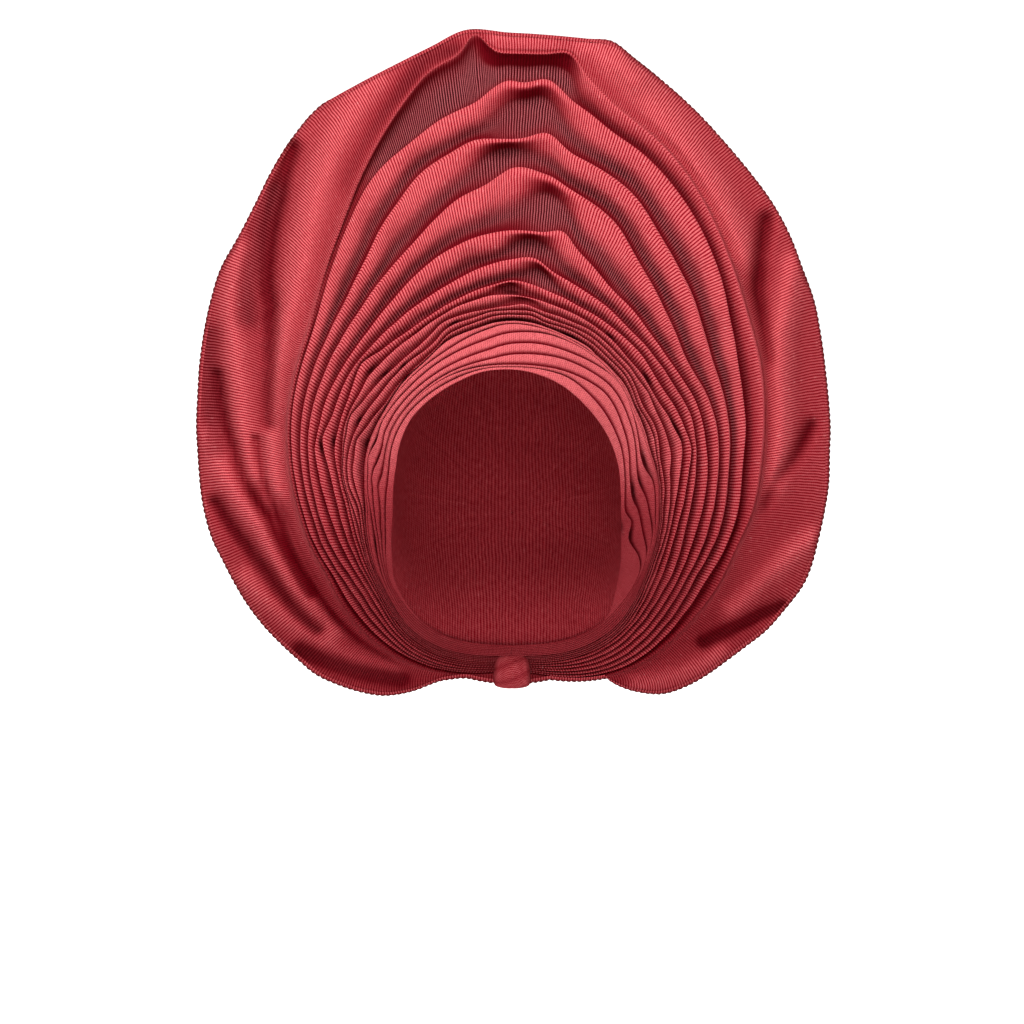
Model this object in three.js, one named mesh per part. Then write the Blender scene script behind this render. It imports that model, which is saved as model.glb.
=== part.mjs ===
// A tied gele: a pleated cloth head tie whose folds fan out round the face and gather at the nape.
// Millimetres, +Z up. The front faces -Y and +X is on the viewer's right.
// The origin is the inside of the crown, where the tie sits on the head.
import * as THREE from 'three';

// Driving sizes
const crownHeight = 115;     // crown above the axis that the folds run round
const axisOffset = 2.5;      // that axis lies this far to the right of the crown
const sightDistance = 1500;  // the folds flare away from a point this far in front of the axis
const seatGap = 0.65;        // air between the last forehead pleat, the crown and the cloth behind them
const stripWall = 1.2;       // one pressed forehead pleat
const stripStep = 2.5;       // how far each forehead pleat steps back behind the one before it
const stripTuck = 1.0;       // how far its hidden edge runs in under the one before it
const fanWall = 2.2;         // cloth of the fan, front to back
const capWall = 1.6;         // cloth over the crown
const leastPitch = 0.95;     // narrowest fold where the cloth is gathered at the nape
const headHalfWidth = 74;
const headRise = 114;
const headDrop = 88;
const headHalfDepth = 97;
const headMiddle = 4;        // the head's middle lies this far behind the axis plane
const headSquareness = 2.2;  // of its outline from in front: 2 is an ellipse
const headFullness = 2.3;    // of its outline from the side
const knotHalfHeight = 12;
const knotHalfDepth = 13;
const knotHalfAngle = 5.78;  // it just fits between the two gathered ends
const knotPinch = 0.16;      // how much thinner it is at its two sides
const knotRadius = 100.2;    // the knot's middle, below the axis
const knotDepth = 93;        // and behind it
const clothRed = 0xb5323f;

// Columns of the fold table: angles round the axis, from the nape up the right, over the top,
// and down the left back to the nape. Zero is the viewer's right, 90 is straight up.
const columnAngle = {
  napeRight: -84, neckRight: -50, lobeRight: -20, earRight: 10, templeRight: 35, browRight: 55,
  slopeRight: 70, topRight: 80, top: 90, topLeft: 100, slopeLeft: 115, browLeft: 135,
  templeLeft: 155, earLeft: 180, lobeLeft: 210, neckLeft: 232, napeLeft: 264,
};
const columns = Object.values(columnAngle);

// One row for each fold: how far its outer edge lies from the axis in each of those columns.
const foldTable = {
  faceEdge: [84, 89, 74, 69.5, 76, 81.2, 86, 88.2, 89.7, 90.2, 88.6, 86.8, 80, 75, 85, 89, 84],
  strip1: [85, 90, 78.5, 75, 81.5, 88, 91.8, 91.6, 91.2, 91.8, 91, 89.3, 83.2, 78, 86.3, 90.1, 85],
  strip2: [86, 91.1, 82, 80, 88, 95.3, 94.6, 93.4, 92.8, 93.4, 93.4, 91.8, 85.7, 80.7, 87.6, 91.3, 86],
  strip3: [87, 92.3, 85, 84, 93.3, 101, 101.5, 100.5, 99.1, 96.9, 96, 94.2, 88.4, 83.5, 88.9, 92.5, 87],
  strip4: [88, 93.5, 87.5, 87.3, 96, 106.6, 106.8, 107.2, 105.9, 102.5, 99.8, 96.8, 91.3, 86.3, 90.2, 93.7, 88],
  strip5: [89, 94.7, 89.3, 89.6, 97.6, 108, 112.8, 114.1, 112.9, 109, 105, 99.9, 94.3, 89, 91.6, 94.9, 89],
  strip6: [90, 95.9, 90.7, 91.1, 99, 109.2, 114.2, 117, 118.5, 115, 108.6, 102.6, 97.1, 90.8, 93, 96.1, 90],
  bandTop: [91, 97.1, 91.9, 92.5, 100.2, 110.4, 115.6, 118.5, 120.4, 118, 111.6, 105, 99.5, 92.2, 94.4, 97.3, 91],
  crest2: [92, 98.3, 93.1, 94.8, 102.5, 113, 119.3, 121, 124.1, 121.8, 114, 108.5, 104.6, 93.8, 95.8, 98.5, 92],
  crest3: [93, 99.5, 94.4, 97.4, 105.3, 116, 122, 124, 127.3, 125, 117.5, 112.3, 108.2, 95.6, 97.4, 99.7, 93],
  crest4: [94, 100.8, 96, 101.1, 110, 119.2, 125.2, 127.3, 129.9, 128.3, 122, 117, 112.7, 97.8, 99.2, 101, 94],
  crest5: [95, 102.2, 98.4, 106.7, 115.3, 122.6, 129.8, 133.3, 136.8, 135.5, 128.7, 124.4, 117.5, 100.5, 101.3, 102.4, 95],
  crest6: [96, 104.4, 102.4, 112.2, 122.2, 130.3, 135.4, 140.5, 146, 140.8, 133.3, 131.5, 121.8, 103.5, 103.6, 103.9, 96],
  crest7: [97, 107.6, 108.3, 117.2, 129, 135.8, 145.3, 153, 159.3, 153, 144, 136.3, 126.9, 108.6, 106, 105.5, 97],
  crest8: [98, 111, 113, 125, 136, 144.9, 160, 178, 177.5, 173, 158, 142, 133, 115.4, 108.4, 107.2, 98],
  crest9: [99, 114.7, 118, 131.7, 143.5, 163, 193.6, 207, 216.5, 200, 174, 152.7, 140.4, 122, 110.9, 109, 99],
  crest10: [100, 118.3, 122.5, 138.3, 156.7, 184.4, 216, 228, 234.8, 229, 196.7, 162, 145.3, 126.4, 113.4, 110.9, 100],
  crest11: [101, 121.7, 129, 147.2, 174, 210.8, 240.6, 258, 271, 252, 222.7, 173.3, 152.8, 131.6, 117.2, 113, 101],
  panelEdge: [102.2, 125.3, 138, 159.4, 187, 222, 250, 276, 289, 285, 230, 180, 158, 137, 121.6, 116.4, 102.2],
  softCrest: [103.6, 129.6, 144, 164, 194, 230, 258, 286, 294, 290, 262, 193.3, 167, 148.5, 131, 121.5, 103.6],
  waveValley: [105, 135, 152, 173, 206, 239, 267, 291, 297, 293, 270, 212, 181, 157, 139, 127, 105],
  outerCrest: [106.5, 142, 167, 187, 219, 250, 276, 296, 299.5, 295.3, 277, 228, 198, 175, 152, 136, 106.5],
};

// The rim is the outline, so it has a finer table of its own: angle, distance from the axis.
const rimTable = [
  [-84, 108], [-72, 108], [-62, 112], [-58, 130], [-50, 149], [-40, 159.7], [-30, 169.5], [-20, 181.8],
  [-12, 190.4], [0, 196.5], [10, 202.8], [20, 211.7], [30, 224.2], [40, 238.6], [50, 254.3], [60, 268.3],
  [70, 286], [75, 296], [79, 303.5], [85, 301.5], [90, 302], [95, 305.5], [100, 297.5], [107, 289],
  [115, 283], [125, 263], [135, 244.5], [150, 224], [160, 210.5], [170, 200.5], [180, 193.5],
  [190, 184], [200, 175.7], [220, 160], [230, 148], [240, 131], [248, 114], [256, 108], [264, 108],
];

// Short peaks that the folds make near the top: fold, angle, extra height, half width in degrees.
const peakTable = [
  ['crest8', 79.5, 4.5, 3], ['crest10', 84.5, 7, 3.2], ['crest11', 85, 6.5, 3.2], ['crest9', 88.5, 1.5, 3],
];

// How far back the face edge and the rim lie: angle, face edge depth, rim depth.
const depthTable = [
  [-84, 82, 97], [-70, 75, 86], [-50, 45, 60], [-35, 22, 47], [-20, -12, 38], [0, -35, 33], [30, -52, 36],
  [60, -70, 40], [90, -78, 42], [120, -70, 40], [150, -52, 36], [180, -35, 33], [200, -12, 38],
  [215, 22, 47], [230, 45, 60], [250, 75, 86], [264, 82, 97],
];

// A smooth curve through points with rising places and no overshoot between them.
function smoothAt(places, values, place) {
  const last = places.length - 1;
  let k = 0;
  while (k < last - 1 && place > places[k + 1]) k += 1;
  const slope = (i) => (values[i + 1] - values[i]) / (places[i + 1] - places[i]);
  const tangent = (i) => {
    if (i === 0) return slope(0);
    if (i === last) return slope(last - 1);
    const before = slope(i - 1);
    const after = slope(i);
    return before * after <= 0 ? 0 : (2 * before * after) / (before + after);
  };
  const width = places[k + 1] - places[k];
  const t = (place - places[k]) / width;
  const rise = values[k + 1] - values[k];
  const a = width * tangent(k);
  const b = width * tangent(k + 1);
  return values[k] + a * t + (3 * rise - 2 * a - b) * t * t + (a + b - 2 * rise) * t * t * t;
}

const column = (table, index) => table.map((row) => row[index]);
const depthAngles = column(depthTable, 0);
const faceDepths = column(depthTable, 1);
const rimDepths = column(depthTable, 2);
const rimAngles = column(rimTable, 0);
const rimRadii = column(rimTable, 1);

// The distance of every fold edge from the axis at one angle, each kept outside the one before it.
function edgesAt(angle) {
  const edges = {};
  let before = 0;
  for (const [name, row] of Object.entries(foldTable)) {
    let radius = smoothAt(columns, row, angle);
    for (const [fold, middle, height, halfWidth] of peakTable) {
      if (fold === name) radius += height * Math.exp(-(((angle - middle) / halfWidth) ** 2));
    }
    edges[name] = Math.max(radius, before + leastPitch);
    before = edges[name];
  }
  edges.rim = Math.max(smoothAt(rimAngles, rimRadii, angle), before + leastPitch);
  return edges;
}

// The leaning plane that the fold edges lie in: depth at one angle and distance.
function leanDepth(angle, radius, edges) {
  const near = smoothAt(depthAngles, faceDepths, angle);
  const far = smoothAt(depthAngles, rimDepths, angle);
  return near + ((far - near) * (radius - edges.faceEdge)) / (edges.rim - edges.faceEdge);
}

// A point from its angle, its distance from the axis as seen from in front, and its depth.
function place(angle, radius, depth) {
  const turn = (angle * Math.PI) / 180;
  const seen = radius * (1 + depth / sightDistance);
  return [axisOffset + seen * Math.cos(turn), depth, seen * Math.sin(turn) - crownHeight];
}

// Angles from the nape round to the nape, closer together over the top.
const { napeRight, napeLeft } = columnAngle;
const topFrom = 64;
const topTo = 116;

function anglesRound(sideSteps, topSteps) {
  const marks = [[napeRight, topFrom, sideSteps], [topFrom, topTo, topSteps], [topTo, napeLeft, sideSteps]];
  const angles = [napeRight];
  for (const [from, to, steps] of marks) {
    for (let i = 1; i <= steps; i += 1) angles.push(from + ((to - from) * i) / steps);
  }
  return angles;
}

// A closed body from rings of points: each ring is a closed loop, and the two end rings are capped.
function bodyFromRings(rings) {
  const positions = rings.flat(2);
  const size = rings[0].length;
  const half = size / 2;
  const index = [];
  for (let i = 0; i < rings.length - 1; i += 1) {
    for (let j = 0; j < size; j += 1) {
      const a = i * size + j;
      const b = i * size + ((j + 1) % size);
      index.push(a, b, b + size, a, b + size, a + size);
    }
  }
  // The loop goes out along the front and home along the back, so a cap is a ladder between them.
  const end = (rings.length - 1) * size;
  for (let j = 0; j < half - 1; j += 1) {
    const a = j;
    const b = j + 1;
    const c = size - 2 - j;
    const d = size - 1 - j;
    index.push(a, c, b, a, d, c);
    index.push(end + a, end + b, end + c, end + a, end + c, end + d);
  }
  return geometryFrom(positions, index);
}

function geometryFrom(positions, index) {
  const geometry = new THREE.BufferGeometry();
  geometry.setAttribute('position', new THREE.Float32BufferAttribute(positions, 3));
  geometry.setIndex(index);
  geometry.computeVertexNormals();
  return geometry;
}

function clothMesh(name, geometry, shade, roughness) {
  const color = new THREE.Color(clothRed).multiplyScalar(shade);
  const mesh = new THREE.Mesh(geometry, new THREE.MeshStandardMaterial({ color, roughness, metalness: 0.05 }));
  mesh.name = name;
  return mesh;
}

// One pressed pleat of the forehead band: it leans back to its inner edge, under the pleat before.
const stripEdges = ['faceEdge', 'strip1', 'strip2', 'strip3', 'strip4', 'strip5', 'strip6', 'bandTop'];
const sideSteps = 16;
const pleatTopSteps = 7;
const fanTopSteps = 13;
const mostTuckUnder = 0.3;   // of the width of the pleat before
const mostTuckInside = 0.45; // of its own width

function foreheadPleat(order) {
  const rings = anglesRound(sideSteps, pleatTopSteps).map((angle) => {
    const edges = edgesAt(angle);
    const inner = edges[stripEdges[order - 1]];
    const outer = edges[stripEdges[order]];
    const before = order > 1 ? inner - edges[stripEdges[order - 2]] : 0;
    const tuck = Math.min(stripTuck, mostTuckUnder * before, mostTuckInside * (outer - inner));
    const back = leanDepth(angle, inner - tuck, edges) + stripStep;
    const front = leanDepth(angle, outer, edges);
    return [
      place(angle, inner - tuck, back),
      place(angle, outer, front),
      place(angle, outer, front + stripWall),
      place(angle, inner - tuck, back + stripWall),
    ];
  });
  return bodyFromRings(rings);
}

// The fan: from the band it drops back behind each crest, runs out along a floor, and comes
// forward to the next crest. The outer panel then runs to the rim in soft waves.
const thinFolds = ['crest2', 'crest3', 'crest4'];
const deepFolds = ['crest5', 'crest6', 'crest7', 'crest8', 'crest9', 'crest10', 'crest11', 'panelEdge'];
const thinFold = [{ out: 0.15, drop: 1 }, { out: 1, drop: 0 }];
const deepFold = [{ out: 0.09, drop: 1 }, { out: 0.42, drop: 0.86 }, { out: 0.7, drop: 0.2 }, { out: 1, drop: 0 }];
const deepestFold = 13;
const shallowFold = 1.2;
const foldSlope = 0.62;      // depth that a fold gains for each millimetre of its width
const bandStep = 1.4;        // the first fold starts this much further back, clear of the band
const waveDepth = 7;
const wideForWave = 60;      // where the outer panel is narrower than this, its waves flatten
const softRise = -0.3;       // places across a wave, as shares of its depth
const outerRise = 0.1;

function fanProfile(angle) {
  const edges = edgesAt(angle);
  const points = [];
  const add = (radius, drop) => points.push([radius, leanDepth(angle, radius, edges) + drop]);
  let crest = edges.bandTop;
  add(crest - 0.5 * stripTuck, stripStep + seatGap);
  for (const fold of [...thinFolds, ...deepFolds]) {
    const width = edges[fold] - crest;
    const depth = Math.min(deepestFold, shallowFold + foldSlope * width);
    const shape = thinFolds.includes(fold) ? thinFold : deepFold;
    for (const { out, drop } of shape) {
      const behindBand = crest === edges.bandTop ? bandStep * (1 - out) : 0;
      add(crest + out * width, drop * depth + behindBand);
    }
    crest = edges[fold];
  }
  const panel = edges.rim - edges.panelEdge;
  const wave = waveDepth * Math.min(1, panel / wideForWave);
  add(edges.softCrest, softRise * wave);
  add(edges.waveValley, wave);
  add(edges.outerCrest, outerRise * wave);
  add(edges.rim, 0);
  return points;
}

function pleatFan() {
  const rings = anglesRound(sideSteps, fanTopSteps).map((angle) => {
    const profile = fanProfile(angle);
    const front = profile.map(([radius, depth]) => place(angle, radius, depth));
    const back = profile.map(([radius, depth]) => place(angle, radius, depth + fanWall));
    return [...front, ...back.reverse()];
  });
  return bodyFromRings(rings);
}

// The crown: a thin bowl of cloth over the top and back of the head, open to the front.
const capSteps = 7;
const capAngles = 36;
const capInset = 2;          // its edge lies this far outside the face edge of the band
const capFlare = 4;          // power that blends that edge into the head's own form
const capTurn = 0.6;         // share of its wall that turns from outward to backward at the back

function headRadius(angle, depth) {
  const turn = (angle * Math.PI) / 180;
  const across = Math.abs(Math.cos(turn)) / headHalfWidth;
  const up = Math.abs(Math.sin(turn)) / (Math.sin(turn) > 0 ? headRise : headDrop);
  const widest = (across ** headSquareness + up ** headSquareness) ** (-1 / headSquareness);
  const along = Math.min(1, Math.abs(depth - headMiddle) / headHalfDepth);
  return widest * (1 - along ** headFullness) ** (1 / headFullness);
}

function capSection(angle, wall) {
  const tableAngle = Math.min(napeLeft, Math.max(napeRight, angle));
  const edges = edgesAt(tableAngle);
  const edgeRadius = edges.faceEdge + capInset;
  const lean = leanDepth(tableAngle, edgeRadius + capInset, edges);
  const edgeDepth = lean + stripStep + stripWall + seatGap;
  const backDepth = headMiddle + headHalfDepth;
  const spread = edgeRadius - headRadius(angle, edgeDepth);
  const points = [];
  for (let j = 0; j < capSteps; j += 1) {
    const t = Math.sin((j / capSteps) * 0.5 * Math.PI);
    const depth = edgeDepth + (backDepth - edgeDepth) * t;
    const radius = headRadius(angle, depth) + spread * (1 - t) ** capFlare;
    const slope = j / capSteps;
    const outward = 1 - capTurn * slope * slope;
    points.push(place(angle, radius + wall * outward, depth + wall * slope * slope));
  }
  return points;
}

function crownCap() {
  const positions = [];
  const index = [];
  const walls = [0, capWall];
  for (const wall of walls) {
    for (let i = 0; i < capAngles; i += 1) {
      const angle = -90 + (360 * i) / capAngles;
      positions.push(...capSection(Math.min(napeLeft, angle), wall).flat());
    }
    positions.push(...place(0, 0, headMiddle + headHalfDepth + wall));
  }
  const half = capAngles * capSteps + 1;
  for (let i = 0; i < capAngles; i += 1) {
    const here = i * capSteps;
    const next = ((i + 1) % capAngles) * capSteps;
    for (let j = 0; j < capSteps - 1; j += 1) {
      index.push(here + j, next + j + 1, here + j + 1, here + j, next + j, next + j + 1);
      index.push(half + here + j, half + here + j + 1, half + next + j + 1);
      index.push(half + here + j, half + next + j + 1, half + next + j);
    }
    const tip = capSteps - 1;
    index.push(here + tip, next + tip, half - 1);
    index.push(half + here + tip, 2 * half - 1, half + next + tip);
    index.push(here, half + next, next, here, half + here, half + next);
  }
  return geometryFrom(positions, index);
}

// The knot at the nape, between the two gathered ends of the cloth.
const knotSections = 8;
const knotSides = 20;

function napeKnot() {
  const rings = [];
  for (let i = 0; i <= knotSections; i += 1) {
    const along = (2 * i) / knotSections - 1;
    const angle = -90 + along * knotHalfAngle;
    const swell = 1 - knotPinch * along * along;
    const ring = [];
    for (let j = 0; j < knotSides; j += 1) {
      const turn = (2 * Math.PI * j) / knotSides;
      const radius = knotRadius + swell * knotHalfHeight * Math.cos(turn);
      ring.push(place(angle, radius, knotDepth + swell * knotHalfDepth * Math.sin(turn)));
    }
    rings.push(ring);
  }
  return bodyFromRings(rings);
}

const gele = new THREE.Group();
for (let i = 1; i < stripEdges.length; i += 1) {
  gele.add(clothMesh(`forehead_pleat_${i}`, foreheadPleat(i), 1.08, 0.7));
}
gele.add(clothMesh('pleat_fan', pleatFan(), 1, 0.72));
gele.add(clothMesh('crown_cap', crownCap(), 0.85, 0.78));
gele.add(clothMesh('nape_knot', napeKnot(), 0.95, 0.74));

export default gele;
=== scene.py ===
import math

import bpy
import numpy as np
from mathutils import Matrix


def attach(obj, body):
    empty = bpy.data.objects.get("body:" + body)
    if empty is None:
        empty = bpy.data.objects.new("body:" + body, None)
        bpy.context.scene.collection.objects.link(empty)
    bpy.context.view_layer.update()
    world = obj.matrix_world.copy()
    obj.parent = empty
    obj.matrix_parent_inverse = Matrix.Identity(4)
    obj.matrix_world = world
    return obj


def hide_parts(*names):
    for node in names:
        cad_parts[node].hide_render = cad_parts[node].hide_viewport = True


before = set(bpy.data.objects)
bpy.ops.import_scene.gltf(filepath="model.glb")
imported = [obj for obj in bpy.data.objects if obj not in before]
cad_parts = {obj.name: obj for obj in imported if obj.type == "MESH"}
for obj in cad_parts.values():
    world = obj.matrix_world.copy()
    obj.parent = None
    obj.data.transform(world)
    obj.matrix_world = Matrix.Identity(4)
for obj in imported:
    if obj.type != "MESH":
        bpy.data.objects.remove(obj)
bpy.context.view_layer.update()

# Everything is in metres, +Z up, with the front towards -Y, and angles run round the axis that the
# folds turn about: 0 is the viewer's right, 90 straight up. Readings are in millimetres.
milli = 0.001

layout = {
    "axisOffset": 2.5,        # the axis lies this far right of the crown
    "crownHeight": 115.0,     # and this far below it
    "sightDistance": 1500.0,  # folds flare away from a point this far in front
    "leastPitch": 0.95,       # narrowest fold where the cloth is gathered
    "leastPleat": 0.3,        # and narrowest pleat of the band, where it hides under the next one
    "napeRight": -90.0,       # both ends of the cloth meet inside the knot
    "napeLeft": 270.0,
    "readFrom": -84,          # readings start and end at these angles
    "readTo": 264,
    "napeInside": 84,         # there the inmost edge lies this far out, and each next one 1 mm more
                              # than the one before it, unless it was read
}

# How far the outer edge of each pleat and fold lies from the axis, at the angles it was read at.
foldReadings = {
    "faceEdge": {
        -50: 89, -35: 80, -20: 73, -10: 69.5, 0: 68.6, 10: 69.5, 20: 72, 35: 76, 55: 81.2, 70: 86,
        80: 88.2, 90: 89.7, 100: 90.2, 115: 88.6, 135: 86.8, 150: 82, 160: 78, 180: 75, 190: 77,
        200: 80.4, 210: 85, 232: 89,
    },
    "strip1": {
        -50: 90, -30: 89.4, -25: 88.7, -20: 85.3, -17: 80.7, -15: 77.3, -13: 75.3, -10: 74.8, -6: 75.6,
        -4: 75.2, -2: 72.9, 0: 71.3, 3: 70.9, 8: 71.6, 13: 72.9, 20: 75.2, 26: 77.7, 31: 79.8, 36: 81.5,
        55: 88, 70: 91.8, 80: 91.6, 90: 91.2, 100: 91.8, 115: 91, 135: 90, 145: 88, 150: 86.4,
        155: 84.4, 160: 82.1, 165: 80.6, 170: 79.9, 180: 79.5, 190: 80.6, 200: 84.4, 210: 88.2,
        232: 90.1,
    },
    "strip2": {
        -50: 91.1, -25: 90, -19: 89.2, -15: 87.3, -10: 83.8, -6: 81.8, -2: 80.3, 0: 79.6, 2: 78.6,
        5: 76.7, 8: 75.9, 13: 76.4, 18: 77.8, 22: 79.6, 25: 81.3, 30: 84, 36: 87, 55: 95.3, 70: 94.6,
        80: 93.4, 90: 92.8, 100: 93.4, 115: 94.2, 135: 93, 145: 91.4, 150: 89.4, 155: 87.1, 160: 85.6,
        163: 84.9, 168: 85.4, 171: 84.6, 175: 83.1, 180: 82.3, 185: 82, 190: 82.8, 200: 85.6, 210: 88.8,
        232: 91.3,
    },
    "strip3": {
        -50: 92.3, -20: 90.3, -10: 89.5, -5: 88, 0: 86.2, 5: 85, 8: 83.8, 11: 82.4, 14: 81.8, 18: 82.7,
        22: 84.4, 26: 86.6, 30: 89, 36: 92.5, 55: 101, 70: 101.5, 80: 100.5, 90: 99.1, 100: 96.9,
        115: 96, 135: 93.4, 150: 89.8, 160: 86, 180: 82.6, 190: 83.2, 210: 89.2, 232: 92.5,
    },
    "strip4": {
        -50: 93.5, -20: 91, -9: 90.9, 0: 90, 4: 90.3, 10: 90.8, 13: 90.6, 15: 89.6, 18: 88, 20: 87.7,
        24: 88.5, 28: 90.6, 31: 92.4, 36: 95.8, 55: 106.6, 70: 106.8, 80: 107.2, 90: 105.9, 100: 102.5,
        115: 99.8, 135: 97.2, 140: 96.4, 145: 95, 148: 94.3, 150: 93, 153: 91.4, 157: 90.3, 160: 90.3,
        163: 91.1, 166: 90.8, 170: 88.9, 175: 87.5, 180: 86.4, 185: 85.8, 190: 85.6, 200: 87.4,
        210: 90.2, 232: 93.7,
    },
    "strip5": {
        -50: 94.7, -20: 91.4, 0: 92, 12: 93.4, 20: 93.8, 25: 94.3, 30: 95.8, 36: 98, 55: 108, 70: 112.8,
        80: 114.1, 90: 112.9, 100: 109, 115: 105, 130: 101.5, 140: 100.3, 145: 99.6, 148: 98.2,
        151: 96.8, 153: 96.2, 157: 96.8, 159: 96.9, 161: 95.9, 165: 93.7, 170: 92.2, 175: 90.4,
        180: 88.6, 190: 87.4, 200: 89.2, 210: 91.6, 232: 94.9,
    },
    "strip6": {
        -50: 95.9, -20: 91.8, 0: 92.4, 12: 93.8, 20: 94.2, 30: 96.5, 36: 98.9, 55: 109.2, 70: 114.2,
        80: 117, 90: 118.5, 100: 115, 115: 108.6, 130: 105, 140: 102.4, 150: 100.5, 160: 97.8,
        170: 93.9, 180: 90.8, 210: 93, 232: 96.1,
    },
    "bandTop": {
        -50: 97.1, -20: 92.4, 0: 92.8, 5: 93.1, 12: 94.2, 20: 94.8, 25: 95.4, 30: 97.4, 35: 99.4,
        40: 101.4, 50: 107.8, 60: 110.8, 65: 114.3, 75: 116.8, 80: 118.5, 85: 120, 90: 120.4, 95: 119.8,
        100: 118, 110: 115.4, 120: 109.4, 130: 106.5, 140: 102.9, 150: 100.9, 155: 99.8, 160: 98.2,
        165: 96.2, 170: 94.4, 180: 92.2, 210: 93.6, 232: 97.3,
    },
    "crest2": {
        -50: 98.3, -20: 93.1, 10: 94.8, 20: 97, 30: 101.8, 40: 103.2, 45: 107.4, 50: 111.5, 60: 114.7,
        65: 117.8, 75: 120.3, 80: 121, 85: 124.1, 95: 123.9, 100: 121.8, 110: 118.8, 115: 113.3,
        120: 110.7, 130: 108, 140: 105, 150: 105.8, 160: 105.3, 165: 104, 170: 100.5, 180: 93.8,
        200: 93, 210: 94.2, 232: 98.3,
    },
    "crest3": {
        -50: 99.5, -20: 94.4, 0: 95, 10: 97.4, 20: 98.9, 30: 104.8, 40: 106, 45: 110.8, 50: 113.6,
        60: 117.8, 65: 121, 75: 122.8, 80: 124, 85: 127, 95: 126.8, 100: 125, 110: 122.8, 115: 116.7,
        120: 115.3, 130: 113.3, 140: 111.3, 150: 111.2, 160: 109.5, 170: 104.5, 180: 95.6, 210: 95.2,
        232: 99.3,
    },
    "crest4": {
        -50: 100.8, -20: 96, 0: 98.9, 10: 101.1, 15: 102.8, 20: 106.7, 30: 109.4, 40: 112, 50: 117,
        60: 121.3, 65: 124, 75: 126.3, 80: 127.3, 87: 130.2, 95: 128.8, 105: 128, 110: 127.4, 115: 122,
        125: 118, 135: 117, 150: 116.5, 160: 112.7, 170: 107, 180: 99, 190: 96, 210: 96.2, 232: 100.4,
    },
    "crest5": {
        -50: 102.2, -20: 98.4, 0: 101.7, 10: 106.7, 20: 113.3, 30: 115, 40: 115.7, 45: 118.9, 50: 119.9,
        60: 125.4, 70: 129.8, 80: 133.3, 85: 135.5, 90: 136.8, 95: 137, 100: 135.5, 110: 131.3,
        120: 127, 130: 125.3, 140: 122, 150: 119.8, 160: 114, 170: 107.5, 180: 101, 200: 97.3,
        210: 97.2, 232: 101.5,
    },
    "crest6": {
        -50: 104.4, -20: 102.4, -10: 103, 0: 106.7, 10: 112.2, 20: 118.9, 30: 121.7, 40: 122.6, 50: 128,
        60: 131.7, 70: 135.4, 80: 140.5, 85: 143.8, 90: 146, 95: 143.5, 100: 140.8, 110: 135.3,
        120: 131.3, 128: 130.7, 135: 132, 140: 128.7, 150: 123, 160: 118.9, 170: 110.2, 180: 103.4,
        200: 99.3, 210: 98.5, 232: 102.8,
    },
    "crest7": {
        -50: 107.6, -30: 107, -20: 108.3, -10: 109, 0: 111.7, 10: 117.2, 20: 123.3, 30: 127.6, 40: 130,
        50: 133.7, 60: 138.3, 65: 142.5, 70: 145.3, 80: 153, 85: 159.5, 90: 159, 95: 156.5, 100: 153,
        110: 146, 120: 140.7, 130: 137, 140: 134.4, 150: 129, 160: 125.5, 170: 115, 180: 109,
        190: 104.8, 200: 101.6, 210: 100.2, 232: 104.2,
    },
    "crest8": {
        -50: 111, -30: 111.8, -20: 113, -10: 115, 0: 119.4, 10: 125, 20: 130, 30: 134.8, 40: 136.5,
        50: 140.7, 60: 149, 65: 152.5, 70: 160, 75: 168, 82: 177, 90: 177.5, 95: 176, 100: 173,
        110: 163.5, 120: 152.7, 130: 144.7, 140: 140, 150: 136.2, 160: 130.3, 170: 123.3, 180: 115.2,
        190: 110, 200: 105.6, 210: 103.2, 232: 106,
    },
    "crest9": {
        -50: 114.7, -30: 116, -20: 118, -10: 122, 0: 126.7, 10: 131.7, 20: 138.3, 30: 143, 40: 144.9,
        45: 149.7, 55: 163, 65: 180.3, 70: 193.6, 80: 207, 84: 213.5, 90: 215, 92: 212, 95: 206,
        100: 200, 105: 190, 110: 180.7, 120: 167.3, 130: 156.7, 140: 149.3, 150: 143.3, 160: 136.7,
        170: 128.8, 180: 122, 190: 116.3, 200: 110.4, 210: 107, 232: 108.3,
    },
    "crest10": {
        -50: 118.3, -30: 121, -20: 122.5, -10: 128.4, 0: 133.9, 10: 138.3, 20: 146.1, 30: 153,
        40: 161.5, 50: 177.5, 60: 194, 70: 216, 75: 222.7, 80: 228, 87: 235, 90: 234.8, 95: 236,
        100: 229, 105: 221.5, 110: 208.7, 115: 196.7, 120: 184, 130: 167.3, 140: 157.3, 150: 149.8,
        160: 141.8, 170: 134, 180: 126.3, 190: 121, 200: 115.2, 210: 111.8, 232: 110.7,
    },
    "crest11": {
        -50: 121.7, -30: 126.2, -20: 129.2, -10: 136, 0: 142.2, 10: 147.2, 20: 156.7, 30: 166.3,
        40: 181, 50: 201.5, 60: 222, 70: 240.6, 75: 247, 80: 258, 87.5: 269.6, 92: 268, 95: 259,
        100: 252, 105: 242, 110: 233.7, 115: 222.7, 120: 207.3, 130: 183.3, 135: 173.3, 140: 166.7,
        150: 157, 160: 148.2, 170: 139.2, 180: 131.7, 190: 125.7, 200: 119.1, 210: 117.2, 232: 113,
    },
    "panelEdge": {
        -84: 102.2, -50: 125.3, -40: 129, -30: 132.8, -20: 138, -10: 142.5, 0: 151.7, 10: 159.4,
        20: 169.4, 30: 181.7, 40: 194, 50: 212, 60: 234, 65: 245, 70: 254, 75: 262, 80: 277, 83: 289,
        90: 289, 95: 290, 100: 284, 105: 266, 110: 247, 115: 229, 120: 212, 130: 187, 135: 177,
        140: 170, 150: 159.5, 160: 150.5, 170: 141.5, 180: 134, 190: 128, 200: 122.5, 210: 121.6,
        232: 116.4, 264: 102.2,
    },
}

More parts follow.
